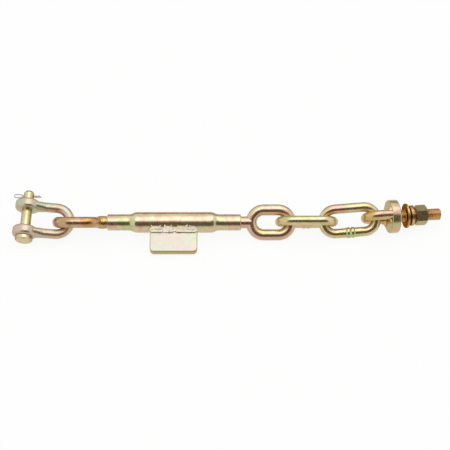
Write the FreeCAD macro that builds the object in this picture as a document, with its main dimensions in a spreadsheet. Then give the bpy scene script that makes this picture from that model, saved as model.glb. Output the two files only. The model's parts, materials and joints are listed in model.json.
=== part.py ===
"""Lower link stabilizer of a tractor, lying on a table.

A turnbuckle with an eye rod of each hand, a shackle with its clevis pin on the left eye, and on
the right eye two welded chain links, the bow of the stud bolt, its washers and its nut.
Millimetres. X runs along the chain, Y away from the tab's free edge, Z up, table at Z = 0.
"""
import FreeCAD
import Part
import Sketcher
import math
import os
import re

Vector = FreeCAD.Vector
Rotation = FreeCAD.Rotation
Placement = FreeCAD.Placement

SIZES = [
    ("rod_dia", 16.0, "thread of both eye rods"),
    ("neck_length", 6.3, "plain rod between an eye and the turnbuckle"),
    ("shank_length", 57.0, "threaded rod inside the turnbuckle"),
    ("rod_chamfer", 1.5, "lead at the rod's end"),
    ("ring_wire", 15.0, "bar of the eyes"),
    ("ring_pitch", 33.6, "between the two long sides of an eye, centre to centre"),
    ("ring_length", 68.0, "outside length of an eye"),
    ("running_clearance", 0.08, "radial clearance of a thread or a pin in its hole"),
    ("seat_gap", 0.05, "between a welded piece and what carries it"),
    ("tube_length", 180.0, "turnbuckle, end to end"),
    ("tube_dia", 28.0, "turnbuckle, main tube"),
    ("tube_bore", 20.0, "turnbuckle, inside the main tube"),
    ("swage_dia", 22.0, "turnbuckle, swaged ends"),
    ("swage_length_left", 28.5, "swaged end of the left-hand thread"),
    ("swage_length_right", 29.5, "swaged end of the right-hand thread"),
    ("shoulder_length", 11.5, "S-shaped shoulder between tube and swaged end"),
    ("tube_chamfer", 1.0, "edge of the swaged ends"),
    ("tab_left", 57.8, "from the turnbuckle's left end to the tab"),
    ("tab_width", 63.5, "tab along the turnbuckle"),
    ("tab_reach", 45.5, "from the turnbuckle's axis to the tab's free edge"),
    ("tab_thickness", 10.0, "tab plate"),
    ("tab_corner", 6.0, "corner radius at the free edge"),
    ("tab_edge", 0.8, "broken edges of the tab"),
    ("bead_leg", 5.5, "leg of a weld bead"),
    ("bead_overrun", 1.0, "bead past the tab's sides"),
    ("link_wire", 13.0, "bar of the chain links and the bow"),
    ("link_pitch", 33.0, "between the two sides of a link, centre to centre"),
    ("link_length", 85.0, "outside length of a link"),
    ("link_gap", 0.3, "play between two linked bars at rest"),
    ("flash_rise", 1.0, "weld flash above the bar"),
    ("flash_width", 6.0, "one lobe of the weld flash, along the bar"),
    ("disc_dia", 45.0, "disc of the stud bolt"),
    ("disc_thickness", 12.0, "disc of the stud bolt"),
    ("disc_edge", 1.6, "rounded edge of the disc"),
    ("stud_dia", 16.0, "thread of the stud bolt"),
    ("stud_length", 61.0, "stud beyond the disc"),
    ("stud_chamfer", 2.0, "rounded end of the stud"),
    ("stud_fillet", 1.5, "root of the stud at the disc"),
    ("bow_length", 37.5, "disc face to the outside of the bow's crown"),
    ("bow_weld_leg", 4.0, "fillet weld of the bow's arms"),
    ("washer_dia", 33.0, "flat washer, outside"),
    ("washer_bore", 17.0, "flat washer, hole"),
    ("washer_thickness", 3.0, "flat washer"),
    ("washer_edge", 0.4, "edge of the flat washer"),
    ("washer_place", 11.3, "disc to the flat washer, along the stud"),
    ("spring_dia", 27.5, "spring washer, outside"),
    ("spring_bore", 16.4, "spring washer, hole"),
    ("spring_section", 3.6, "spring washer, height of its section"),
    ("spring_rise", 4.2, "spring washer, offset of its two ends"),
    ("spring_turn", 0.96, "spring washer, part of a full turn"),
    ("spring_seat", 2.4, "flat washer to the spring washer"),
    ("nut_seat", 0.3, "spring washer to the nut"),
    ("nut_flats", 24.0, "across the flats"),
    ("nut_height", 16.0, "hexagon nut"),
    ("nut_bevel", 1.7, "height of the nut's bevelled corners"),
    ("nut_lead", 1.0, "countersink of the nut's thread"),
    ("shackle_wire", 13.0, "bar of the shackle"),
    ("jaw_gap", 24.0, "between the shackle's eyes"),
    ("eye_dia", 33.0, "outside of the shackle's eyes"),
    ("eye_thickness", 14.0, "shackle's eyes, along the pin"),
    ("eye_round", 4.5, "rounded edge of the shackle's eyes"),
    ("shackle_reach", 59.0, "pin axis to the bar at the shackle's crown"),
    ("shoulder_start", 9.0, "pin axis to the root of an arm's shoulder"),
    ("shoulder_end", 25.0, "pin axis to where the arm is plain bar"),
    ("shoulder_width", 25.0, "width of an arm's shoulder at the eye"),
    ("pin_dia", 14.0, "clevis pin"),
    ("pin_length", 65.5, "clevis pin, under its head"),
    ("pin_head_dia", 24.0, "clevis pin, head"),
    ("pin_head_height", 6.0, "clevis pin, head"),
    ("pin_head_chamfer", 2.0, "clevis pin, outer edge of the head"),
    ("pin_tip_chamfer", 2.5, "clevis pin, tip"),
    ("pin_head_gap", 0.4, "head to the lower eye"),
    ("pin_hole_place", 6.6, "tip to the cross hole"),
    ("split_wire", 1.6, "wire of the split pin"),
    ("split_clearance", 0.3, "split pin in its hole, all round"),
    ("split_leg", 10.5, "legs beyond the clevis pin"),
    ("split_neck", 1.2, "clevis pin to the split pin's loop"),
    ("split_loop_length", 12.5, "loop of the split pin"),
    ("split_loop_width", 6.4, "loop of the split pin, outside"),
    ("split_leg_gap", 0.2, "between the two legs"),
    ("left_ring_roll", 135.0, "degrees from the table, across the left eye"),
    ("right_ring_roll", 45.0, "degrees, across the right eye"),
    ("near_roll", 128.6, "degrees, across the first link"),
    ("far_roll", 50.0, "degrees, across the second link"),
    ("far_yaw", 2.5, "degrees, second link away from the tab's side"),
    ("far_pitch", 4.0, "degrees, second link up to the right"),
    ("far_lift", 1.2, "second link off the table, held up by the bow"),
    ("bolt_roll", 125.0, "degrees, across the bow"),
    ("bolt_yaw", 9.8, "degrees, stud bolt"),
    ("bolt_pitch", -5.6, "degrees, stud bolt, down to the right"),
    ("bolt_side", -1.6, "bow's crown off the far link's centre line, in Y"),
    ("shackle_yaw", -2.1, "degrees"),
    ("shackle_roll", 24.0, "degrees, clevis pin above the table"),
    ("split_turn", -8.0, "degrees, split pin about the clevis pin"),
    ("nut_turn", 10.0, "degrees, nut on the stud"),
    ("spring_turn_rest", 200.0, "degrees, spring washer on the stud"),
]

doc = FreeCAD.newDocument("Stabilizer")
sheet = doc.addObject("Spreadsheet::Sheet", "Dim")
for row, (alias, value, note) in enumerate(SIZES, start=1):
    sheet.set(f"A{row}", alias)
    sheet.set(f"B{row}", str(value))
    sheet.set(f"C{row}", note)
    sheet.setAlias(f"B{row}", alias)
doc.recompute()

WORDS = re.compile(r"\b(" + "|".join(sorted((s[0] for s in SIZES), key=len, reverse=True)) + r")\b")


def ex(formula):
    """The formula with the sheet's name before each size."""
    return WORDS.sub(r"Dim.\1", str(formula))


def val(formula):
    """The formula's number."""
    return float(sheet.evalExpression(ex(formula)))


def bind(thing, prop, formula):
    """Tie a property to a formula of the sheet's sizes."""
    thing.setExpression(prop, ex(formula))


# sketches and features
def new_body(name):
    body = doc.addObject("PartDesign::Body", name)
    body.Label = name
    return body


def sketch_on(body, name, role, offset="0", shift_x="0", shift_y="0"):
    """A sketch on one of the body's origin planes, moved by the offset along its normal."""
    sk = body.newObject("Sketcher::SketchObject", name)
    plane = next(f for f in body.Origin.OriginFeatures if f.Role == role)
    sk.AttachmentSupport = (plane, "")
    sk.MapMode = "FlatFace"
    sk.AttachmentOffset = Placement(Vector(val(shift_x), val(shift_y), val(offset)), Rotation())
    for axis, formula in (("x", shift_x), ("y", shift_y), ("z", offset)):
        if formula != "0":
            bind(sk, f"AttachmentOffset.Base.{axis}", formula)
    return sk


def fix_point(sk, geo, pos, x, y):
    """Dimension a point of the sketch from the sketch's origin."""
    for kind, formula in (("DistanceX", x), ("DistanceY", y)):
        index = sk.addConstraint(Sketcher.Constraint(kind, -1, 1, geo, pos, val(formula)))
        bind(sk, f"Constraints[{index}]", formula)


def draw(sk, steps, closed=True):
    """Draw lines and arcs from point to point.

    A step is (x, y) for a line to that point, or (x, y, cx, cy, turn) for an arc about (cx, cy),
    where turn is 1 for anticlockwise and -1 for clockwise.
    """
    start = steps[0][:2]
    rest = list(steps[1:])
    if closed and rest[-1][:2] != start:
        rest.append(start)
    before = start
    count = len(rest)
    arcs = []
    for step in rest:
        x0, y0 = val(before[0]), val(before[1])
        x1, y1 = val(step[0]), val(step[1])
        if len(step) == 2:
            sk.addGeometry(Part.LineSegment(Vector(x0, y0, 0), Vector(x1, y1, 0)), False)
            arcs.append(0)
        else:
            cx, cy = val(step[2]), val(step[3])
            radius = math.hypot(x0 - cx, y0 - cy)
            a0 = math.atan2(y0 - cy, x0 - cx)
            a1 = math.atan2(y1 - cy, x1 - cx)
            if step[4] < 0:
                a0, a1 = a1, a0
            circle = Part.Circle(Vector(cx, cy, 0), Vector(0, 0, 1), radius)
            sk.addGeometry(Part.ArcOfCircle(circle, a0, a1), False)
            arcs.append(step[4])
        before = step[:2]
    first = [1 if turn >= 0 else 2 for turn in arcs]
    last = [2 if turn >= 0 else 1 for turn in arcs]
    for i in range(count - 1):
        sk.addConstraint(Sketcher.Constraint("Coincident", i, last[i], i + 1, first[i + 1]))
    if closed:
        sk.addConstraint(Sketcher.Constraint("Coincident", count - 1, last[-1], 0, first[0]))
    fix_point(sk, 0, first[0], *start)
    ends = rest[:-1] if closed else rest
    for i, step in enumerate(ends):
        fix_point(sk, i, last[i], step[0], step[1])
    before = start
    for i, step in enumerate(rest):
        if len(step) > 2:
            chord_x = abs(val(step[0]) - val(before[0]))
            chord_y = abs(val(step[1]) - val(before[1]))
            kind, formula = ("DistanceX", step[2]) if chord_y >= chord_x else ("DistanceY", step[3])
            index = sk.addConstraint(Sketcher.Constraint(kind, -1, 1, i, 3, val(formula)))
            bind(sk, f"Constraints[{index}]", formula)
        before = step[:2]


def circle_in(sk, x, y, radius):
    """A full circle, its centre and radius dimensioned."""
    geo = sk.addGeometry(Part.Circle(Vector(val(x), val(y), 0), Vector(0, 0, 1), val(radius)), False)
    fix_point(sk, geo, 3, x, y)
    index = sk.addConstraint(Sketcher.Constraint("Radius", geo, val(radius)))
    bind(sk, f"Constraints[{index}]", radius)


def revolve(body, name, steps, role="XZ_Plane", axis="H_Axis", groove=False, **where):
    """Turn a closed outline about the sketch's own axis."""
    sk = sketch_on(body, name + "_outline", role, **where)
    draw(sk, steps)
    kind = "PartDesign::Groove" if groove else "PartDesign::Revolution"
    feature = body.newObject(kind, name)
    feature.Profile = sk
    feature.ReferenceAxis = (sk, [axis])
    feature.Angle = 360
    return feature


def pipe(body, name, section, path):
    feature = body.newObject("PartDesign::AdditivePipe", name)
    feature.Profile = section
    feature.Spine = (path, [])
    return feature


def eye_loop(body, name, wire, pitch, length, centre_x="0"):
    """A closed loop of round bar in the body's XY plane: two straight sides, two half circles."""
    path = sketch_on(body, name + "_path", "XY_Plane")
    far = f"({centre_x}) + (({length}) - ({wire}) - ({pitch})) / 2"
    near = f"({centre_x}) - (({length}) - ({wire}) - ({pitch})) / 2"
    side = f"({pitch}) / 2"
    draw(path, [
        (near, f"-{side}"),
        (far, f"-{side}"),
        (far, side, far, "0", 1),
        (near, side),
        (near, f"-{side}", near, "0", 1),
    ])
    section = sketch_on(body, name + "_section", "YZ_Plane", offset=near)
    circle_in(section, f"-{side}", "0", f"({wire}) / 2")
    return pipe(body, name, section, path)


def arch(body, name, role, wire, pitch, start, crown):
    """A U of round bar: two arms along X from start, joined by a half circle at the crown."""
    side = f"({pitch}) / 2"
    bend = f"({crown}) - ({pitch}) / 2"
    path = sketch_on(body, name + "_path", role)
    draw(path, [
        (start, f"-{side}"),
        (bend, f"-{side}"),
        (bend, side, bend, "0", 1),
        (start, side),
    ], closed=False)
    section = sketch_on(body, name + "_section", "YZ_Plane", offset=start)
    if role == "XY_Plane":
        circle_in(section, f"-{side}", "0", f"({wire}) / 2")
    else:
        circle_in(section, "0", f"-{side}", f"({wire}) / 2")
    return pipe(body, name, section, path)


def rounded_disc(dia, thickness, start, edge):
    """Outline of a disc along X from start, with rounded rims, to be turned about X."""
    end = f"({start}) + ({thickness})"
    rim = f"({dia}) / 2"
    inner = f"({dia}) / 2 - ({edge})"
    left = f"({start}) + ({edge})"
    right = f"({end}) - ({edge})"
    return [
        (start, "0"),
        (start, inner),
        (left, rim, left, inner, -1),
        (right, rim),
        (end, inner, right, inner, -1),
        (end, "0"),
    ]


# eye rods
def eye_rod(name):
    """Oval eye whose shank runs toward +X. Origin where the shank enters the turnbuckle."""
    body = new_body(name)
    eye_loop(body, "eye", "ring_wire", "ring_pitch", "ring_length",
             "-neck_length - ring_length / 2")
    root = "-neck_length - ring_wire / 2"
    revolve(body, "shank", [
        (root, "0"),
        (root, "rod_dia / 2"),
        ("shank_length - rod_chamfer", "rod_dia / 2"),
        ("shank_length", "rod_dia / 2 - rod_chamfer"),
        ("shank_length", "0"),
    ])
    return body


left_eye_rod = eye_rod("left_eye_rod")
right_eye_rod = eye_rod("right_eye_rod")


# turnbuckle
def turnbuckle():
    """Tube with both ends swaged down and threaded. Origin at its left end, on the axis."""
    body = new_body("turnbuckle_tube")
    outer = "tube_dia / 2"
    small = "swage_dia / 2"
    bore = "rod_dia / 2 + running_clearance"
    wide = "tube_bore / 2"
    step = "(tube_dia - swage_dia) / 4"
    curve = f"((shoulder_length / 2)^2 + ({step})^2) / (2 * {step})"
    middle = f"{small} + {step}"
    left = "swage_length_left"
    left_mid = "swage_length_left + shoulder_length / 2"
    left_end = "swage_length_left + shoulder_length"
    right = "tube_length - swage_length_right"
    right_mid = "tube_length - swage_length_right - shoulder_length / 2"
    right_end = "tube_length - swage_length_right - shoulder_length"
    revolve(body, "tube", [
        ("0", f"{bore} + tube_chamfer"),
        ("0", f"{small} - tube_chamfer"),
        ("tube_chamfer", small),
        (left, small),
        (left_mid, middle, left, f"{small} + {curve}", 1),
        (left_end, outer, left_end, f"{outer} - {curve}", -1),
        (right_end, outer),
        (right_mid, middle, right_end, f"{outer} - {curve}", -1),
        (right, small, right, f"{small} + {curve}", 1),
        ("tube_length - tube_chamfer", small),
        ("tube_length", f"{small} - tube_chamfer"),
        ("tube_length", f"{bore} + tube_chamfer"),
        ("tube_length - tube_chamfer", bore),
        (right, bore),
        (right_end, wide),
        (left_end, wide),
        (left, bore),
        ("tube_chamfer", bore),
    ])
    return body


def tab():
    """Plate in the XY plane, its inner edge coped to the tube."""
    body = new_body("tab_plate")
    outline = sketch_on(body, "outline", "XY_Plane")
    right = "tab_left + tab_width"
    draw(outline, [
        ("tab_left", "0"),
        ("tab_left", "tab_corner - tab_reach"),
        ("tab_left + tab_corner", "-tab_reach", "tab_left + tab_corner", "tab_corner - tab_reach", 1),
        (f"{right} - tab_corner", "-tab_reach"),
        (right, "tab_corner - tab_reach", f"{right} - tab_corner", "tab_corner - tab_reach", 1),
        (right, "0"),
    ])
    plate = body.newObject("PartDesign::Pad", "plate")
    plate.Profile = outline
    plate.Midplane = True
    bind(plate, "Length", "tab_thickness")
    doc.recompute()
    rims = [
        f"Edge{i}" for i, edge in enumerate(plate.Shape.Edges, start=1)
        if abs(abs(edge.CenterOfMass.z) - val("tab_thickness / 2")) < 1e-6
        and edge.CenterOfMass.y < -val("tube_dia / 2")
    ]
    edges = body.newObject("PartDesign::Chamfer", "edges")
    edges.Base = (plate, rims)
    bind(edges, "Size", "tab_edge")
    doc.recompute()
    seat = "tube_dia / 2 + seat_gap"
    cope = revolve(body, "cope", [
        ("tab_left - tab_corner", "0"),
        ("tab_left - tab_corner", seat),
        (f"{right} + tab_corner", seat),
        (f"{right} + tab_corner", "0"),
    ], groove=True)
    return body


# along the bead: share of its length, share of its leg
BEAD_STATIONS = [
    (0.0, 0.5), (0.03, 0.9), (0.14, 1.0), (0.27, 0.88), (0.4, 0.98), (0.52, 0.86),
    (0.66, 1.0), (0.8, 0.9), (0.9, 1.0), (0.97, 0.86), (1.0, 0.5),
]


def bead_section(body, name, side, along, share):
    """Section of a weld bead: on the tab, on the tube and a bulging face."""
    seat = "(tube_dia / 2 + seat_gap)"
    face = "(tab_thickness / 2 + seat_gap)"
    leg = f"(bead_leg * {share})"
    root = f"-sqrt({seat}^2 - {face}^2)"
    climb = f"({face} + {leg})"
    top = f"-sqrt({seat}^2 - {climb}^2)"
    toe = f"({root} - {leg})"
    section = sketch_on(body, name, "YZ_Plane",
                        offset=f"tab_left - bead_overrun + {along} * (tab_width + 2 * bead_overrun)")
    draw(section, [
        (toe, f"{side} * {face}"),
        (root, f"{side} * {face}"),
        (top, f"{side} * {climb}", "0", "0", -side),
        (f"{top} - {leg} * 0.5", f"{side} * ({face} + {leg} * 0.72)"),
    ])
    return section


def weld_bead(name, side):
    """Bead in the corner of tube and tab, on the +Z side or the -Z side of the tab."""
    body = new_body(name)
    sections = [
        bead_section(body, f"section_{i}", side, along, share)
        for i, (along, share) in enumerate(BEAD_STATIONS)
    ]
    bead = body.newObject("PartDesign::AdditiveLoft", "bead")
    bead.Profile = sections[0]
    bead.Sections = sections[1:]
    bead.Ruled = True
    return body


turnbuckle_tube = turnbuckle()
tab_plate = tab()
tab_weld_upper = weld_bead("tab_weld_upper", 1)
tab_weld_lower = weld_bead("tab_weld_lower", -1)


# chain links
def chain_link(name):
    """Oval link in the XY plane, origin at its centre, weld flash in the middle of one side."""
    body = new_body(name)
    eye_loop(body, "bar", "link_wire", "link_pitch", "link_length")
    bar = "link_wire / 2"
    top = "link_wire / 2 + flash_rise"
    lobe = "((flash_width / 2)^2 + flash_rise^2) / (2 * flash_rise)"
    revolve(body, "flash", [
        ("-flash_width", "0"),
        ("-flash_width", bar),
        ("-flash_width / 2", top, "-flash_width / 2", f"{top} - {lobe}", -1),
        ("0", bar, "-flash_width / 2", f"{top} - {lobe}", -1),
        ("flash_width / 2", top, "flash_width / 2", f"{top} - {lobe}", -1),
        ("flash_width", bar, "flash_width / 2", f"{top} - {lobe}", -1),
        ("flash_width", "0"),
    ], role="XY_Plane", shift_y="-link_pitch / 2")
    return body


chain_link_near = chain_link("chain_link_near")
chain_link_far = chain_link("chain_link_far")


# stud bolt and its bow
def stud():
    """Disc and stud, forged in one, along X. Origin on the disc's left face."""
    body = new_body("stud_bolt")
    disc = rounded_disc("disc_dia", "disc_thickness", "0", "disc_edge")
    end = "disc_thickness + stud_length"
    foot = "disc_thickness + stud_fillet"
    shank = "stud_dia / 2"
    disc[-1] = ("disc_thickness", f"{shank} + stud_fillet")
    disc += [
        (foot, shank, foot, f"{shank} + stud_fillet", 1),
        (f"{end} - stud_chamfer", shank),
        (end, f"{shank} - stud_chamfer", f"{end} - stud_chamfer", f"{shank} - stud_chamfer", -1),
        (end, "0"),
    ]
    revolve(body, "forging", disc)
    return body


def half_link():
    """The bow: its arms start at the disc's left face and its crown points to -X."""
    body = new_body("bow")
    arch(body, "bar", "XY_Plane", "link_wire", "link_pitch", "seat_gap",
         "bow_length - link_wire / 2")
    return body


def bow_weld(name, side):
    """Fillet weld round one arm of the bow, against the disc."""
    body = new_body(name)
    inner = "link_wire / 2 + seat_gap"
    outer = f"{inner} + bow_weld_leg"
    curve = "bow_weld_leg"
    revolve(body, "fillet", [
        ("seat_gap", inner),
        ("seat_gap", outer),
        ("seat_gap + bow_weld_leg * 0.2", outer),
        ("seat_gap + bow_weld_leg", f"{inner} + bow_weld_leg * 0.2",
         "seat_gap + bow_weld_leg", outer, 1),
        ("seat_gap + bow_weld_leg", inner),
    ], role="XY_Plane", shift_y=f"{side} * link_pitch / 2")
    doc.recompute()
    revolve(body, "trim", [
        ("-bow_weld_leg", "disc_dia / 2 - disc_edge"),
        ("-bow_weld_leg", "disc_dia"),
        ("2 * bow_weld_leg", "disc_dia"),
        ("2 * bow_weld_leg", "disc_dia / 2 - disc_edge"),
    ], groove=True)
    return body


stud_bolt = stud()
bow = half_link()
bow_weld_upper = bow_weld("bow_weld_upper", 1)
bow_weld_lower = bow_weld("bow_weld_lower", -1)


def washer():
    """Flat washer, along X from its left face."""
    body = new_body("flat_washer")
    rim = "washer_dia / 2"
    revolve(body, "ring", [
        ("0", "washer_bore / 2"),
        ("0", f"{rim} - washer_edge"),
        ("washer_edge", rim),
        ("washer_thickness - washer_edge", rim),
        ("washer_thickness", f"{rim} - washer_edge"),
        ("washer_thickness", "washer_bore / 2"),
    ])
    return body


def split_ring():
    """Spring washer: a square section wound nearly once about X."""
    body = new_body("spring_washer")
    section = sketch_on(body, "section", "XZ_Plane")
    draw(section, [
        ("0", "spring_bore / 2"),
        ("spring_section", "spring_bore / 2"),
        ("spring_section", "spring_dia / 2"),
        ("0", "spring_dia / 2"),
    ])
    coil = body.newObject("PartDesign::AdditiveHelix", "coil")
    coil.Profile = section
    coil.ReferenceAxis = (section, ["H_Axis"])
    coil.Mode = 1
    coil.Pitch = val("spring_rise / spring_turn")
    coil.Turns = val("spring_turn")
    bind(coil, "Pitch", "spring_rise / spring_turn")
    bind(coil, "Turns", "spring_turn")
    return body


def nut():
    """Hexagon nut along X from its left face, with both rims bevelled."""
    body = new_body("hex_nut")
    corner = "nut_flats / sqrt(3)"
    half = f"{corner} / 2"
    flat = "nut_flats / 2"
    hexagon = sketch_on(body, "hexagon", "YZ_Plane")
    draw(hexagon, [
        (corner, "0"),
        (half, flat),
        (f"-{half}", flat),
        (f"-{corner}", "0"),
        (f"-{half}", f"-{flat}"),
        (half, f"-{flat}"),
    ])
    block = body.newObject("PartDesign::Pad", "block")
    block.Profile = hexagon
    bind(block, "Length", "nut_height")
    doc.recompute()
    rim = f"{flat} * 0.97"
    beyond = f"{corner} + nut_bevel"
    slope = f"{beyond} - ({rim})"
    drop = f"nut_bevel * ({slope}) / ({corner} - ({rim}))"
    revolve(body, "bevel_left", [
        ("0", rim),
        ("0", beyond),
        (drop, beyond),
    ], groove=True)
    revolve(body, "bevel_right", [
        ("nut_height", rim),
        ("nut_height", beyond),
        (f"nut_height - {drop}", beyond),
    ], groove=True)
    hole = "stud_dia / 2 + running_clearance"
    revolve(body, "thread_hole", [
        ("0", "0"),
        ("0", f"{hole} + nut_lead"),
        ("nut_lead", hole),
        ("nut_height - nut_lead", hole),
        ("nut_height", f"{hole} + nut_lead"),
        ("nut_height", "0"),
    ], groove=True)
    return body


flat_washer = washer()
spring_washer = split_ring()
hex_nut = nut()


# shackle and its pins
ARM_PITCH = "(jaw_gap + eye_thickness - 0.6)"


def shackle_body():
    """Shackle: origin on the pin axis, Z along the pin, +X toward the crown."""
    body = new_body("shackle")
    arch(body, "bar", "XZ_Plane", "shackle_wire", ARM_PITCH, "shoulder_end", "shackle_reach")
    low = "jaw_gap / 2"
    top = "(jaw_gap / 2 + eye_thickness)"
    rim = "eye_dia / 2"
    inner = "(eye_dia / 2 - eye_round)"
    eye = revolve(body, "eye", [
        ("0", low),
        (inner, low),
        (rim, f"{low} + eye_round", inner, f"{low} + eye_round", 1),
        (rim, f"{top} - eye_round"),
        (inner, top, inner, f"{top} - eye_round", 1),
        ("0", top),
    ], axis="V_Axis")
    side = f"{ARM_PITCH} / 2"
    root = sketch_on(body, "shoulder_root", "YZ_Plane", offset="shoulder_start")
    ellipse_in(root, side, "shoulder_width / 2", "eye_thickness / 2 - 0.2")
    neck = sketch_on(body, "shoulder_neck", "YZ_Plane", offset="shoulder_end")
    circle_in(neck, "0", side, "shackle_wire / 2")
    shoulder = body.newObject("PartDesign::AdditiveLoft", "shoulder")
    shoulder.Profile = root
    shoulder.Sections = [neck]
    doc.recompute()
    mirror = body.newObject("PartDesign::Mirrored", "other_arm")
    mirror.Originals = [eye, shoulder]
    plane = next(f for f in body.Origin.OriginFeatures if f.Role == "XY_Plane")
    mirror.MirrorPlane = (plane, [""])
    body.Tip = mirror
    doc.recompute()
    revolve(body, "pin_hole", [
        ("0", f"-{top} - 1"),
        ("pin_dia / 2 + running_clearance", f"-{top} - 1"),
        ("pin_dia / 2 + running_clearance", f"{top} + 1"),
        ("0", f"{top} + 1"),
    ], axis="V_Axis", groove=True)
    return body


def ellipse_in(sk, y, half_width, half_height):
    """An ellipse centred on (0, y), dimensioned by its two half axes."""
    major, minor = val(half_width), val(half_height)
    centre = Vector(0, val(y), 0)
    curve = Part.Ellipse(centre + Vector(major, 0, 0), centre + Vector(0, minor, 0), centre)
    geo = sk.addGeometry(curve, False)
    sk.exposeInternalGeometry(geo)
    fix_point(sk, geo, 3, "0", y)
    sk.addConstraint(Sketcher.Constraint("Horizontal", geo + 1))
    for line, formula in ((geo + 1, half_width), (geo + 2, half_height)):
        index = sk.addConstraint(Sketcher.Constraint("Distance", line, 2 * val(formula)))
        bind(sk, f"Constraints[{index}]", f"2 * ({formula})")


PIN_UNDER_HEAD = "(-jaw_gap / 2 - eye_thickness - pin_head_gap)"
PIN_TIP = f"({PIN_UNDER_HEAD} + pin_length)"
SPLIT_PLACE = f"({PIN_TIP} - pin_hole_place)"
LEG_OFFSET = "((split_wire + split_leg_gap) / 2)"


def pin():
    """Clevis pin along Z, head below, cross hole along X near the tip."""
    body = new_body("clevis_pin")
    low = f"{PIN_UNDER_HEAD} - pin_head_height"
    head = "pin_head_dia / 2"
    shank = "pin_dia / 2"
    revolve(body, "turned", [
        ("0", low),
        (f"{head} - pin_head_chamfer", low),
        (head, f"{low} + pin_head_chamfer"),
        (head, PIN_UNDER_HEAD),
        (shank, PIN_UNDER_HEAD),
        (shank, f"{PIN_TIP} - pin_tip_chamfer"),
        (f"{shank} - pin_tip_chamfer * 0.7", PIN_TIP),
        ("0", PIN_TIP),
    ], axis="V_Axis")
    doc.recompute()
    hole = sketch_on(body, "cross_hole_outline", "YZ_Plane")
    circle_in(hole, "0", SPLIT_PLACE, f"{LEG_OFFSET} + split_wire / 2 + split_clearance")
    cut = body.newObject("PartDesign::Pocket", "cross_hole")
    cut.Profile = hole
    cut.Midplane = True
    cut.Length = 2 * val("pin_dia")
    bind(cut, "Length", "2 * pin_dia")
    return body


def sprung_pin():
    """Split pin along X through the clevis pin: a loop at -X and two legs side by side."""
    body = new_body("split_pin")
    wide = "((split_loop_width - split_wire) / 2)"
    tip = "pin_dia / 2 + split_leg"
    neck = "-pin_dia / 2 - split_neck"
    rise = f"({wide} - {LEG_OFFSET})"
    curve = f"({rise} * 1.5)"
    run = f"sqrt({curve}^2 - ({curve} - {rise} / 2)^2)"
    middle = f"{neck} - {run}"
    flare = f"{neck} - 2 * {run}"
    end = f"{neck} - split_loop_length + {wide} + split_wire / 2"
    half = f"({LEG_OFFSET} + {rise} / 2)"
    path = sketch_on(body, "wire_path", "XY_Plane")
    draw(path, [
        (tip, f"-{LEG_OFFSET}"),
        (neck, f"-{LEG_OFFSET}"),
        (middle, f"-{half}", neck, f"-{LEG_OFFSET} - {curve}", 1),
        (flare, f"-{wide}", flare, f"{curve} - {wide}", -1),
        (end, f"-{wide}"),
        (end, wide, end, "0", -1),
        (flare, wide),
        (middle, half, flare, f"{wide} - {curve}", -1),
        (neck, LEG_OFFSET, neck, f"{LEG_OFFSET} + {curve}", 1),
        (f"{tip} - split_wire", LEG_OFFSET),
    ], closed=False)
    section = sketch_on(body, "wire_section", "YZ_Plane", offset=tip)
    circle_in(section, f"-{LEG_OFFSET}", "0", "split_wire / 2")
    pipe(body, "wire", section, path)
    return body


shackle = shackle_body()
clevis_pin = pin()
split_pin = sprung_pin()
doc.recompute()


# where each piece lies
def pose(base, yaw=0.0, pitch=0.0, roll=0.0):
    """Local X yawed about Z and pitched up, then everything rolled about local X."""
    turn = Rotation(Vector(0, 0, 1), yaw) * Rotation(Vector(0, 1, 0), -pitch)
    return Placement(base, turn * Rotation(Vector(1, 0, 0), roll))


def tight_box(shape):
    return shape.optimalBoundingBox(False, False)


def turned(piece, where):
    """The piece's shape, as it would lie with this placement."""
    shape = piece.Shape.copy()
    shape.Placement = where
    return shape


def rest_height(pieces, where):
    """How far the pieces reach below the origin of their common placement."""
    return -min(tight_box(turned(piece, where)).ZMin for piece in pieces)


def pull_taut(pieces, where, held, direction, gap):
    """Slide a hooked piece along the direction until it is one gap from what holds it."""
    for _ in range(30):
        moving = Part.makeCompound([turned(piece, where) for piece in pieces])
        room = moving.distToShape(held)[0] - gap
        if room < 0.002:
            break
        where = Placement(where.Base + direction * room, where.Rotation)
    return where


AXIS_HEIGHT = (
    val("ring_pitch / 2") * math.sin(math.radians(val("left_ring_roll"))) + val("ring_wire / 2")
)
reach = math.hypot(val("tab_reach"), val("tab_thickness / 2"))
tab_roll = math.degrees(
    math.asin(AXIS_HEIGHT / reach) - math.atan2(val("tab_thickness / 2"), val("tab_reach"))
)
tube_pose = pose(Vector(0, 0, AXIS_HEIGHT), roll=tab_roll)
left_rod_pose = pose(Vector(0, 0, AXIS_HEIGHT), roll=val("left_ring_roll"))
right_rod_pose = Placement(
    Vector(val("tube_length"), 0, AXIS_HEIGHT),
    Rotation(Vector(0, 0, 1), 180) * Rotation(Vector(1, 0, 0), 180 - val("right_ring_roll")),
)

# the chain lies pulled straight: each loop starts slack in the last one and is drawn out
EYE_CROWN = val("neck_length + ring_length - ring_wire / 2")
LINK_REACH = val("(link_length - link_wire) / 2")
SLACK = val("link_wire / 2")
ALONG = Vector(1, 0, 0)
link_gap = val("link_gap")

left_crown = Vector(-EYE_CROWN, 0, AXIS_HEIGHT)
right_crown = Vector(val("tube_length") + EYE_CROWN, 0, AXIS_HEIGHT)
near_slack = right_crown + ALONG * (LINK_REACH - SLACK - val("(ring_wire + link_wire) / 2"))
near_slack.z = rest_height([chain_link_near], pose(Vector(), roll=val("near_roll")))
near_pose = pull_taut([chain_link_near], pose(near_slack, roll=val("near_roll")),
                      turned(right_eye_rod, right_rod_pose), ALONG, link_gap)
near_crown = near_pose.multVec(ALONG * LINK_REACH)

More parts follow.
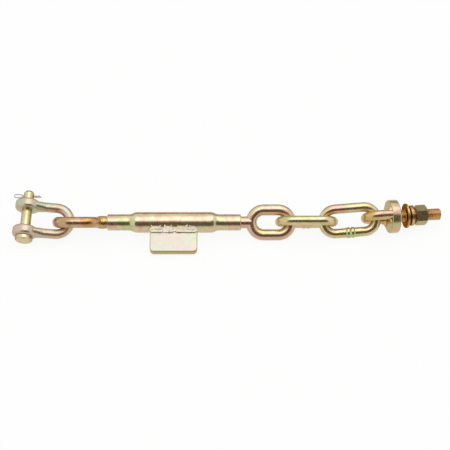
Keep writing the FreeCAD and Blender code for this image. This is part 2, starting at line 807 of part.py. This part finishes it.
far_turn = pose(Vector(), val("far_yaw"), val("far_pitch"), val("far_roll"))
far_direction = far_turn.multVec(ALONG)
far_slack = near_crown - ALONG * (SLACK + val("link_wire")) + far_direction * LINK_REACH
far_slack.z = rest_height([chain_link_far], far_turn) + val("far_lift")
far_pose = pull_taut([chain_link_far], Placement(far_slack, far_turn.Rotation),
                     turned(chain_link_near, near_pose), ALONG, link_gap)
far_crown = far_pose.multVec(ALONG * LINK_REACH)

half_turn = Placement(Vector(), Rotation(Vector(0, 1, 0), 180))
bolt_turn = pose(Vector(), val("bolt_yaw"), val("bolt_pitch"), val("bolt_roll"))
bolt_axis = bolt_turn.multVec(ALONG)
bow_slack = far_crown - ALONG * (SLACK + val("link_wire")) + Vector(0, val("bolt_side"), 0)
face = bow_slack + bolt_axis * val("bow_length - link_wire / 2")
face.z = rest_height([stud_bolt], bolt_turn)
bow_pose = pull_taut([bow], Placement(face, bolt_turn.Rotation).multiply(half_turn),
                     turned(chain_link_far, far_pose), ALONG, link_gap)
bolt_pose = bow_pose.multiply(half_turn)

WASHER_AT = val("disc_thickness + washer_place")
SPRING_AT = WASHER_AT + val("washer_thickness + spring_seat")
NUT_AT = SPRING_AT + val("spring_rise + spring_section + nut_seat")


def along_stud(distance, turn=0.0):
    step = Placement(Vector(distance, 0, 0), Rotation(Vector(1, 0, 0), turn))
    return bolt_pose.multiply(step)


# the shackle lies on its lower eye, its crown at the height of the rods
roll = val("shackle_roll") - 90
height = rest_height([shackle, clevis_pin], pose(Vector(), val("shackle_yaw"), 0, roll))
dip = -math.degrees(math.asin((height - AXIS_HEIGHT) / val("shackle_reach")))
shackle_turn = pose(Vector(), val("shackle_yaw"), dip, roll)
shackle_axis = shackle_turn.multVec(ALONG)
shackle_slack = left_crown + ALONG * (SLACK + val("(ring_wire + shackle_wire) / 2"))
pin_centre = shackle_slack - shackle_axis * val("shackle_reach")
pin_centre.z = rest_height([shackle, clevis_pin], shackle_turn)
shackle_pose = pull_taut([shackle], Placement(pin_centre, shackle_turn.Rotation),
                         turned(left_eye_rod, left_rod_pose), -ALONG, link_gap)
pin_turn = Placement(Vector(), Rotation(Vector(0, 0, 1), val("split_turn")))
pin_pose = shackle_pose.multiply(pin_turn)
split_pose = pin_pose.multiply(Placement(Vector(0, 0, val(SPLIT_PLACE)), Rotation()))

WHERE = {
    left_eye_rod: left_rod_pose,
    right_eye_rod: right_rod_pose,
    turnbuckle_tube: tube_pose,
    tab_plate: tube_pose,
    tab_weld_upper: tube_pose,
    tab_weld_lower: tube_pose,
    chain_link_near: near_pose,
    chain_link_far: far_pose,
    stud_bolt: bolt_pose,
    bow: bow_pose,
    bow_weld_upper: bow_pose,
    bow_weld_lower: bow_pose,
    flat_washer: along_stud(WASHER_AT),
    spring_washer: along_stud(SPRING_AT, val("spring_turn_rest")),
    hex_nut: along_stud(NUT_AT, val("nut_turn")),
    shackle: shackle_pose,
    clevis_pin: pin_pose,
    split_pin: split_pose,
}
for piece, where in WHERE.items():
    piece.Placement = where
doc.recompute()

box = FreeCAD.BoundBox()
for piece in WHERE:
    box.add(tight_box(piece.Shape))
ORIGIN = Vector(box.Center.x, box.Center.y, 0)
for piece, where in WHERE.items():
    piece.Placement = Placement(where.Base - ORIGIN, where.Rotation)
doc.recompute()

# check and write
for thing in doc.Objects:
    if "Invalid" in thing.State or "Error" in thing.State:
        raise RuntimeError(f"{thing.Name} did not build: {thing.State}")
os.makedirs("parts", exist_ok=True)
for piece in WHERE:
    shape = piece.Shape
    if shape.isNull() or not shape.isValid() or not shape.Solids:
        raise RuntimeError(f"{piece.Label} is not a valid solid")
    shape.exportStep(f"parts/{piece.Label}.step")
    box = tight_box(shape)
    low = [round(v, 2) for v in (box.XMin, box.YMin, box.ZMin)]
    high = [round(v, 2) for v in (box.XMax, box.YMax, box.ZMax)]
    print(piece.Label, len(shape.Solids), round(shape.Volume), low, high)
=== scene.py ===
import json
import math

import bpy
from mathutils import Matrix, Vector


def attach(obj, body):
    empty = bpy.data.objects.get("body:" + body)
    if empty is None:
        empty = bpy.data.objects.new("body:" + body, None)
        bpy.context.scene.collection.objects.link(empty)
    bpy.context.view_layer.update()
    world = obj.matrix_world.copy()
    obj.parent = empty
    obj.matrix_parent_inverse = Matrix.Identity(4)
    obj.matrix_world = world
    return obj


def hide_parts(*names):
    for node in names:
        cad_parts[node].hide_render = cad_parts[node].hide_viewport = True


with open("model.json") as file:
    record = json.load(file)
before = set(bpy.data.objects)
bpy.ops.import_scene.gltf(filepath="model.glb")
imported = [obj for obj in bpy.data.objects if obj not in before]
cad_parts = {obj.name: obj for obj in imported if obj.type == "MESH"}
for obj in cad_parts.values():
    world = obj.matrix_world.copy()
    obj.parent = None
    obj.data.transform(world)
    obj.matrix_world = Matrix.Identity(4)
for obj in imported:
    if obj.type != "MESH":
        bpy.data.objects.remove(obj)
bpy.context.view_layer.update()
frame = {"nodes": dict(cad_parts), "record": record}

# camera of the photograph, and the middle of its view on the object (metres)
VIEW_DISTANCE = 1.95
VIEW_WIDTH = 0.607
VIEW_ELEVATION = math.radians(45)
AIM = Vector((-0.0034, -0.0003, 0.0169))

nodes = frame["nodes"]
joints = {joint["name"]: joint for joint in frame["record"]["behaviour"]["joints"]}

# cross hole of the clevis pin
HOLE = Vector((-0.26926, 0.034021, 0.03736))
HOLE_AXIS = Vector((0.9946, -0.0931, 0.0457)).normalized()
# axis of the rods
ROD_Y, ROD_Z = joints["body_turn"]["pos_m"][1:]
# stud and its thread, which runs in from the plain root and is shallower on the end's chamfer
STUD_RADIUS = 0.008
THREAD_PITCH = 0.002
THREAD_DEPTH = 0.0007
THREAD_STEPS = 8
THREAD_SEGMENTS = 56
THREAD_RUN_IN = 0.004
THREAD_END_SHARE = 0.6
GROOVE_SLOPE = 3.2
GROOVE_LAND = 0.2
# the stud's own coat begins this far before its thread
COAT_LEAD = 0.001
# a point inside the bolt's half outline, from the disc's left face and from the axis
INSIDE_ALONG = 0.006
INSIDE_AWAY = 0.004
# the root's fillet is no wider than this beyond this place, so that the flat washer clears it
ROOT_ALONG = 0.0122
ROOT_RADIUS = 0.00845
# how near counts as equal, for a radius and at the axis
RADIUS_SLACK = 2e-5
AXIS_SLACK = 1e-5
# turned pieces
SWELL_SEGMENTS = 64
SHARP_ANGLE = math.radians(40)
NUT_ROLL = -24
SPLIT_PIN_ROLL = 80
# finish of the zinc
CLOUD_FROM = 0.32
CLOUD_SPAN = 0.36
STREAK_RATIO = 6.0
SPECK_SCALE = 1100.0
GRAIN_SCALE = 480.0
GRAIN_DEPTH = 0.0006
# stage
FLOOR_RADIUS = 3.0
FLOOR_WHITE = 0.9
SKY_STRENGTH = 0.9


# ---- shader helpers
def new_material(name):
    """A material with its node tree and its shader."""
    mat = bpy.data.materials.new(name)
    mat.use_nodes = True
    tree = mat.node_tree
    shader = tree.nodes["Principled BSDF"]
    return mat, tree, shader


def add(tree, kind, **values):
    """A new shader node with its settings."""
    node = tree.nodes.new(kind)
    for key, value in values.items():
        setattr(node, key, value)
    return node


def noise(tree, coords, scale, detail=3.0, rough=0.55, distortion=0.0):
    """A cloudy value of about 0 to 1 at the coordinates."""
    node = add(tree, "ShaderNodeTexNoise")
    node.inputs["Scale"].default_value = scale
    node.inputs["Detail"].default_value = detail
    node.inputs["Roughness"].default_value = rough
    node.inputs["Distortion"].default_value = distortion
    tree.links.new(coords, node.inputs["Vector"])
    return node.outputs["Fac"]


def ramp(tree, value, stops):
    """A colour from a value, by (place, colour) stops."""
    node = add(tree, "ShaderNodeValToRGB")
    ends = node.color_ramp.elements
    while len(ends) < len(stops):
        ends.new(0.5)
    for end, (place, colour) in zip(ends, stops):
        end.position = place
        end.color = (*colour, 1.0)
    tree.links.new(value, node.inputs["Fac"])
    return node.outputs["Color"]


def mix(tree, factor, colour, tint):
    """The colour, turned to a plain tint by the factor."""
    node = add(tree, "ShaderNodeMix", data_type="RGBA")
    tree.links.new(factor, node.inputs[0])
    tree.links.new(colour, node.inputs[6])
    node.inputs[7].default_value = (*tint, 1.0)
    return node.outputs[2]


def spread(tree, value, low, high):
    """A value of 0 to 1, spread from low to high."""
    node = add(tree, "ShaderNodeMapRange")
    node.inputs["To Min"].default_value = low
    node.inputs["To Max"].default_value = high
    tree.links.new(value, node.inputs["Value"])
    return node.outputs["Result"]


# tints of the passivated zinc, linear
CREAM = (0.86, 0.76, 0.53)
STRAW = (0.80, 0.66, 0.34)
GOLD = (0.76, 0.52, 0.20)
PINK = (0.82, 0.54, 0.42)
GREEN = (0.62, 0.68, 0.34)
OLIVE = (0.50, 0.42, 0.18)
COPPER = (0.70, 0.34, 0.15)
RUST = (0.42, 0.22, 0.09)
BROWN = (0.40, 0.20, 0.10)
HONEY = (0.62, 0.50, 0.22)
GREY = (0.48, 0.42, 0.31)
TAN = (0.60, 0.38, 0.20)
PALE = (0.63, 0.61, 0.52)
PALE_PINK = (0.66, 0.58, 0.52)
PALE_GREEN = (0.60, 0.64, 0.49)
# near-white of the weld beads, partly their paler zinc and partly painted highlight
BRIGHT = (0.92, 0.87, 0.74)

X, Y, Z = (1, 0, 0), (0, 1, 0), (0, 0, 1)
bolt_axis = Vector(joints["nut_turn"]["axis"]).normalized()
bolt_point = Vector(joints["nut_turn"]["pos_m"])


def facing(tree, axis, low, high, both=False):
    """0 to 1 as the surface turns towards an axis of the row."""
    dot = add(tree, "ShaderNodeVectorMath", operation="DOT_PRODUCT")
    tree.links.new(add(tree, "ShaderNodeTexCoord").outputs["Normal"], dot.inputs[0])
    dot.inputs[1].default_value = axis
    value = dot.outputs["Value"]
    if both:
        size = add(tree, "ShaderNodeMath", operation="ABSOLUTE")
        tree.links.new(value, size.inputs[0])
        value = size.outputs[0]
    step = add(tree, "ShaderNodeMapRange")
    step.inputs["From Min"].default_value = low
    step.inputs["From Max"].default_value = high
    tree.links.new(value, step.inputs["Value"])
    return step.outputs["Result"]


def zinc(name, tints, grain=0.1, rough=(0.2, 0.34), cloud=30.0, pits=0.3, stain=0.2,
         sides=(), metal=1.0, edge=None):
    """Yellow passivated zinc: clouds of tint, olive stains, fine grain, tiny dull pits.

    Sides gives other tints to the faces that look along an axis; on the tab, the disc, the washers
    and the pin these darker tints are painted shade. Edge is the tint of what is seen at a grazing
    angle.
    """
    mat, tree, shader = new_material(name)
    coords = add(tree, "ShaderNodeTexCoord").outputs["Object"]
    clouds = noise(tree, coords, cloud, 2.0, 0.45, 0.8)
    stops = [(CLOUD_FROM + CLOUD_SPAN * i / (len(tints) - 1), tint) for i, tint in enumerate(tints)]
    colour = ramp(tree, clouds, stops)
    streaks = noise(tree, coords, cloud * STREAK_RATIO, 4.0, 0.6, 0.3)
    for axis, low, high, both, tint in sides:
        colour = mix(tree, facing(tree, axis, low, high, both), colour, tint)
    colour = mix(tree, spread(tree, streaks, -0.1, 2 * stain), colour, OLIVE)
    speck = noise(tree, coords, SPECK_SCALE, 2.0, 0.6)
    dull = ramp(tree, speck, [(0.0, (pits,) * 3), (0.38, (pits,) * 3), (0.46, (0, 0, 0))])
    colour = mix(tree, dull, colour, RUST)
    tree.links.new(colour, shader.inputs["Base Color"])
    shader.inputs["Metallic"].default_value = metal
    if edge:
        shader.inputs["Specular Tint"].default_value = (*edge, 1.0)
    tree.links.new(spread(tree, streaks, *rough), shader.inputs["Roughness"])
    bump = add(tree, "ShaderNodeBump")
    bump.inputs["Strength"].default_value = grain
    bump.inputs["Distance"].default_value = GRAIN_DEPTH
    fine = noise(tree, coords, GRAIN_SCALE, 4.0, 0.65)
    tree.links.new(fine, bump.inputs["Height"])
    tree.links.new(bump.outputs["Normal"], shader.inputs["Normal"])
    return mat


def dress(material, *names):
    """One material on each of the nodes."""
    for name in names:
        data = nodes[name].data
        data.materials.clear()
        data.materials.append(material)


rod_zinc = zinc("rod_zinc", [CREAM, PINK, CREAM, STRAW], sides=[(Y, -0.3, -0.8, False, PINK)])
left_zinc = zinc("left_zinc", [COPPER, TAN, PINK, TAN, GOLD], stain=0.3, grain=0.14, pits=0.6,
                 cloud=45.0)
tube_zinc = zinc("tube_zinc", [GREEN, CREAM, PINK, CREAM, STRAW], grain=0.07, pits=0.2)
# the tab's faces that turn away from the top are tinted honey: painted shade on its edges
tab_zinc = zinc("tab_zinc", [PALE_GREEN, PALE, PALE_PINK, PALE], grain=0.05, rough=(0.3, 0.44),
                stain=0.05, sides=[(Z, 0.85, 0.6, False, HONEY)])
# the beads are near-white and nearly matte: partly their paler zinc, partly painted highlight so
# that they look lit all over
weld_zinc = zinc("weld_zinc", [BRIGHT, CREAM, BRIGHT, PALE], grain=0.3, rough=(0.4, 0.6),
                 cloud=90.0, pits=0.1, stain=0.03, metal=0.1)
link_zinc = zinc("link_zinc", [GREEN, STRAW, CREAM, STRAW, PINK])
# the disc's left face is tinted honey: painted shade
bolt_zinc = zinc("bolt_zinc", [CREAM, STRAW, PINK, GREEN], grain=0.06,
                 sides=[(tuple(-bolt_axis), 0.5, 0.9, False, HONEY)])
stud_zinc = zinc("stud_zinc", [COPPER, COPPER, GOLD, BROWN], grain=0.1, cloud=60.0)
bow_zinc = zinc("bow_zinc", [GOLD, PINK, STRAW])
# the washers' flat faces are tinted brown, darker than their rims: painted shade
washer_zinc = zinc("washer_zinc", [COPPER, STRAW, CREAM], grain=0.06,
                   sides=[(tuple(bolt_axis), 0.4, 0.8, True, BROWN)], edge=(0.36, 0.22, 0.13))
nut_zinc = zinc("nut_zinc", [GREY, HONEY, GREY], grain=0.2, stain=0.3, pits=0.4)
shackle_zinc = zinc("shackle_zinc", [PALE_PINK, PALE, PINK, PALE_GREEN], rough=(0.28, 0.42))
# the pin's faces turned to the left and right are tinted olive: painted shade standing in for a
# dark reflection
pin_zinc = zinc("pin_zinc", [STRAW, CREAM, STRAW], grain=0.05, sides=[(X, 0.35, 0.8, True, OLIVE)])

dress(rod_zinc, "right_eye_rod")
dress(left_zinc, "left_eye_rod")
dress(tube_zinc, "turnbuckle_tube")
dress(tab_zinc, "tab_plate")
dress(weld_zinc, "tab_weld_upper", "tab_weld_lower")
dress(link_zinc, "chain_link_near", "chain_link_far")
dress(bow_zinc, "bow", "bow_weld_upper", "bow_weld_lower")
dress(washer_zinc, "flat_washer", "spring_washer")
dress(shackle_zinc, "shackle")
dress(pin_zinc, "clevis_pin")

wire, tree, shader = new_material("split_pin_steel")
coords = add(tree, "ShaderNodeTexCoord").outputs["Object"]
drawn = noise(tree, coords, 900.0, 2.0)
tree.links.new(ramp(tree, drawn, [(0.3, (0.5, 0.5, 0.47)), (0.7, (0.72, 0.72, 0.7))]),
               shader.inputs["Base Color"])
tree.links.new(spread(tree, drawn, 0.22, 0.4), shader.inputs["Roughness"])
shader.inputs["Metallic"].default_value = 1.0


def skin(name, points, rings, segments):
    """A mesh over rings of points, with a flat face at each end."""
    last = (rings - 1) * segments
    faces = [tuple(range(segments)), tuple(last + k for k in reversed(range(segments)))]
    for ring in range(rings - 1):
        for k in range(segments):
            a = ring * segments + k
            b = ring * segments + (k + 1) % segments
            faces.append((a, a + segments, b + segments, b))
    mesh = bpy.data.meshes.new(name)
    mesh.from_pydata(points, [], faces)
    for face in mesh.polygons:
        face.use_smooth = len(face.vertices) == 4
    return mesh


# ---- the stud bolt again, with its thread cut in
def contour(name, point, axis, middle, height):
    """Outline of a turned node as (along, away) pairs, from its left face to its right end."""
    node = nodes[name]
    pairs = set()
    for vertex in node.data.vertices:
        arm = node.matrix_world @ vertex.co - point
        along = arm.dot(axis)
        pairs.add((round(along, 6), round((arm - axis * along).length, 6)))
    first = min(along for along, away in pairs)

    def angle(pair):
        turn = math.atan2(pair[1] - height, pair[0] - first - middle)
        return turn if turn > -math.pi / 2 else turn + 2 * math.pi

    return sorted(pairs, key=angle, reverse=True)


def threaded_bolt():
    """Disc and stud, turned from the node's outline, with a helical thread along the stud."""
    axis, point = bolt_axis, bolt_point
    outline = contour("stud_bolt", point, axis, INSIDE_ALONG, INSIDE_AWAY)
    root = min(along for along, away in outline) + ROOT_ALONG
    outline = [(along, min(away, ROOT_RADIUS) if along > root else away)
               for along, away in outline]
    end = max(along for along, away in outline)
    level = [k for k, (along, away) in enumerate(outline)
             if abs(away - STUD_RADIUS) < RADIUS_SLACK]
    foot, lip = outline[level[0]][0], outline[level[-1]][0]
    # each ring has its place, its radius and its share of the thread's depth
    rings = [(along, away, 0.0) for along, away in outline[:level[0]] if away > AXIS_SLACK]
    count = round((lip - foot) / THREAD_PITCH * THREAD_STEPS)
    for k in range(count + 1):
        along = foot + (lip - foot) * k / count
        rings.append((along, STUD_RADIUS, min(1.0, (along - foot) / THREAD_RUN_IN)))
    rings += [(along, away, THREAD_END_SHARE) for along, away in outline[level[-1] + 1:]
              if away > AXIS_SLACK]
    side = axis.orthogonal().normalized()
    up = axis.cross(side)
    points = []
    for along, away, cut in rings:
        for k in range(THREAD_SEGMENTS):
            share = k / THREAD_SEGMENTS
            wave = ((along - end) / THREAD_PITCH - share) % 1.0
            groove = GROOVE_SLOPE * min(wave, 1.0 - wave) - GROOVE_LAND
            reach = away - cut * THREAD_DEPTH * max(0.0, min(1.0, groove))
            turn = 2 * math.pi * share
            arm = side * math.cos(turn) + up * math.sin(turn)
            points.append(point + axis * along + arm * reach)
    mesh = skin("threaded_bolt", points, len(rings), THREAD_SEGMENTS)
    mesh.validate()
    bolt = bpy.data.objects.new("threaded_bolt", mesh)
    bpy.context.scene.collection.objects.link(bolt)
    mesh.materials.append(bolt_zinc)
    mesh.materials.append(stud_zinc)
    for face in mesh.polygons:
        face.material_index = int((face.center - point).dot(axis) > foot - COAT_LEAD)
    bpy.context.view_layer.objects.active = bolt
    bolt.select_set(True)
    bpy.ops.object.mode_set(mode="EDIT")
    bpy.ops.mesh.select_all(action="SELECT")
    bpy.ops.mesh.normals_make_consistent(inside=False)
    bpy.ops.object.mode_set(mode="OBJECT")
    mesh.set_sharp_from_angle(angle=SHARP_ANGLE)
    bolt.select_set(False)
    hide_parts("stud_bolt")
    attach(bolt, "eye_bolt")


threaded_bolt()


# ---- the nut and the split pin again, turned on their own axes to lie as photographed
def turned(name, node_name, point, axis, degrees, body, material):
    """The node's own mesh, turned about an axis through a point."""
    node = nodes[node_name]
    mesh = node.data.copy()
    mesh.name = name
    turn = Matrix.Rotation(math.radians(degrees), 4, axis)
    turn = Matrix.Translation(point) @ turn @ Matrix.Translation(-point)
    mesh.transform(turn @ node.matrix_world)
    mesh.materials.clear()
    mesh.materials.append(material)
    piece = bpy.data.objects.new(name, mesh)
    bpy.context.scene.collection.objects.link(piece)
    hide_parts(node_name)
    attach(piece, body)


def collar(name, profile, body, material):
    """A turned swell round the rods' axis, from (x, radius) pairs."""
    points = []
    for x, radius in profile:
        for k in range(SWELL_SEGMENTS):
            turn = 2 * math.pi * k / SWELL_SEGMENTS
            points.append((x, ROD_Y + radius * math.cos(turn), ROD_Z + radius * math.sin(turn)))
    mesh = skin(name, points, len(profile), SWELL_SEGMENTS)
    mesh.set_sharp_from_angle(angle=SHARP_ANGLE)
    mesh.materials.append(material)
    piece = bpy.data.objects.new(name, mesh)
    bpy.context.scene.collection.objects.link(piece)
    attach(piece, body)


SWELL_PROFILE = [
    (-0.1785, 0.0055), (-0.1765, 0.0072), (-0.1745, 0.0081), (-0.1725, 0.0086), (-0.1690, 0.0088),
    (-0.1650, 0.0086), (-0.1636, 0.0083), (-0.1628, 0.0078), (-0.1624, 0.0070), (-0.1624, 0.0055),
]
collar("left_neck_swell", SWELL_PROFILE, "left_rod", left_zinc)
turned("nut_flat_up", "hex_nut", bolt_point, bolt_axis, NUT_ROLL, "nut", nut_zinc)
turned("split_pin_upright", "split_pin", HOLE, HOLE_AXIS, SPLIT_PIN_ROLL, "pin",
       wire)


# ---- ripples in the weld beads, cut inwards
def ripple(name, size, depth, voxel):
    """Ripples of a size and a greatest depth, on a bead meshed evenly by the voxel size."""
    node = nodes[name]
    texture = bpy.data.textures.new(name + "_ripple", "CLOUDS")
    texture.noise_scale = size
    texture.noise_depth = 2
    even = node.modifiers.new("even", "REMESH")
    even.mode = "VOXEL"
    even.voxel_size = voxel
    even.use_smooth_shade = True
    push = node.modifiers.new("ripple", "DISPLACE")
    push.texture = texture
    push.texture_coords = "LOCAL"
    push.strength = depth
    push.mid_level = 1.0


ripple("tab_weld_upper", size=0.0026, depth=0.0034, voxel=0.0004)
ripple("tab_weld_lower", size=0.0026, depth=0.0034, voxel=0.0005)


# ---- floor, studio and camera
def white_where_seen(tree, plain, share):
    """The plain shader, mostly white for what looks at it directly or in a mirror."""
    path = add(tree, "ShaderNodeLightPath")
    seen = path.outputs["Is Camera Ray"]
    for other in ("Is Glossy Ray", "Is Transmission Ray"):
        either = add(tree, "ShaderNodeMath", operation="MAXIMUM")
        tree.links.new(seen, either.inputs[0])
        tree.links.new(path.outputs[other], either.inputs[1])
        seen = either.outputs[0]
    part = add(tree, "ShaderNodeMath", operation="MULTIPLY")
    part.inputs[1].default_value = share
    tree.links.new(seen, part.inputs[0])
    glow = add(tree, "ShaderNodeEmission")
    glow.inputs["Color"].default_value = (1, 1, 1, 1)
    glow.inputs["Strength"].default_value = 1.0
    blend = add(tree, "ShaderNodeMixShader")
    tree.links.new(part.outputs[0], blend.inputs[0])
    tree.links.new(plain, blend.inputs[1])
    tree.links.new(glow.outputs[0], blend.inputs[2])
    return blend.outputs[0]


bpy.ops.mesh.primitive_circle_add(vertices=96, radius=FLOOR_RADIUS, fill_type="NGON")
floor = bpy.context.object
floor.name = "floor"
mat = bpy.data.materials.new("floor_white")
mat.use_nodes = True
tree = mat.node_tree
tree.nodes.remove(tree.nodes["Principled BSDF"])
matte = add(tree, "ShaderNodeBsdfDiffuse")
matte.inputs["Color"].default_value = (0.88, 0.87, 0.86, 1)
surface = white_where_seen(tree, matte.outputs[0], FLOOR_WHITE)
tree.links.new(surface, tree.nodes["Material Output"].inputs["Surface"])
floor.data.materials.append(mat)


def card(name, low, high, left, right, tone):
    """A studio card between two lines along X, seen only in what mirrors it.

    Low and high are the (y, z) of the two lines, left and right their ends.
    """
    mesh = bpy.data.meshes.new(name)
    corners = [(left, *low), (right, *low), (right, *high), (left, *high)]
    mesh.from_pydata(corners, [], [(0, 1, 2, 3)])
    thing = bpy.data.objects.new(name, mesh)
    bpy.context.scene.collection.objects.link(thing)
    mat = bpy.data.materials.new(name)
    mat.use_nodes = True
    tree = mat.node_tree
    tree.nodes.remove(tree.nodes["Principled BSDF"])
    plain = add(tree, "ShaderNodeEmission")
    plain.inputs["Color"].default_value = (*tone, 1)
    tree.links.new(plain.outputs[0], tree.nodes["Material Output"].inputs["Surface"])
    mesh.materials.append(mat)
    for ray in ("visible_camera", "visible_diffuse", "visible_shadow", "visible_transmission"):
        setattr(thing, ray, False)


# a dark card in front, round the camera, a grey one behind and a pale one on the floor
card("front_flag", (-2.3, 0.02), (-1.1, 2.25), -1.15, 2.2, (0.10, 0.07, 0.045))
card("back_flag", (2.6, 0.0), (2.5, 1.3), -3.0, 3.0, (0.27, 0.24, 0.18))
card("floor_tone", (-2.4, 0.0002), (2.6, 0.0002), -2.6, 2.6, (0.76, 0.73, 0.68))

world = bpy.data.worlds.new("studio")
bpy.context.scene.world = world
world.use_nodes = True
sky = world.node_tree.nodes["Background"]
sky.inputs["Color"].default_value = (1, 1, 1, 1)
sky.inputs["Strength"].default_value = SKY_STRENGTH


def softbox(name, place, size, power):
    """A wide lamp that looks at the object."""
    data = bpy.data.lights.new(name, "AREA")
    data.shape = "RECTANGLE"
    data.size, data.size_y = size
    data.energy = power
    lamp = bpy.data.objects.new(name, data)
    bpy.context.scene.collection.objects.link(lamp)
    lamp.location = place
    lamp.rotation_euler = (Vector((0, 0, 0)) - lamp.location).to_track_quat("-Z", "Y").to_euler()


softbox("softbox_top", Vector((0.1, -0.07, 1.9)), (2.6, 1.24), 8.5)

camera_data = bpy.data.cameras.new("camera")
camera = bpy.data.objects.new("camera", camera_data)
bpy.context.scene.collection.objects.link(camera)
sight = Vector((0, -math.cos(VIEW_ELEVATION), math.sin(VIEW_ELEVATION)))
camera.location = AIM + sight * VIEW_DISTANCE
camera.rotation_euler = (-sight).to_track_quat("-Z", "Y").to_euler()
camera_data.sensor_fit = "HORIZONTAL"
camera_data.angle = 2 * math.atan(VIEW_WIDTH / 2 / VIEW_DISTANCE)
bpy.context.scene.camera = camera
bpy.context.scene.view_settings.view_transform = "Standard"
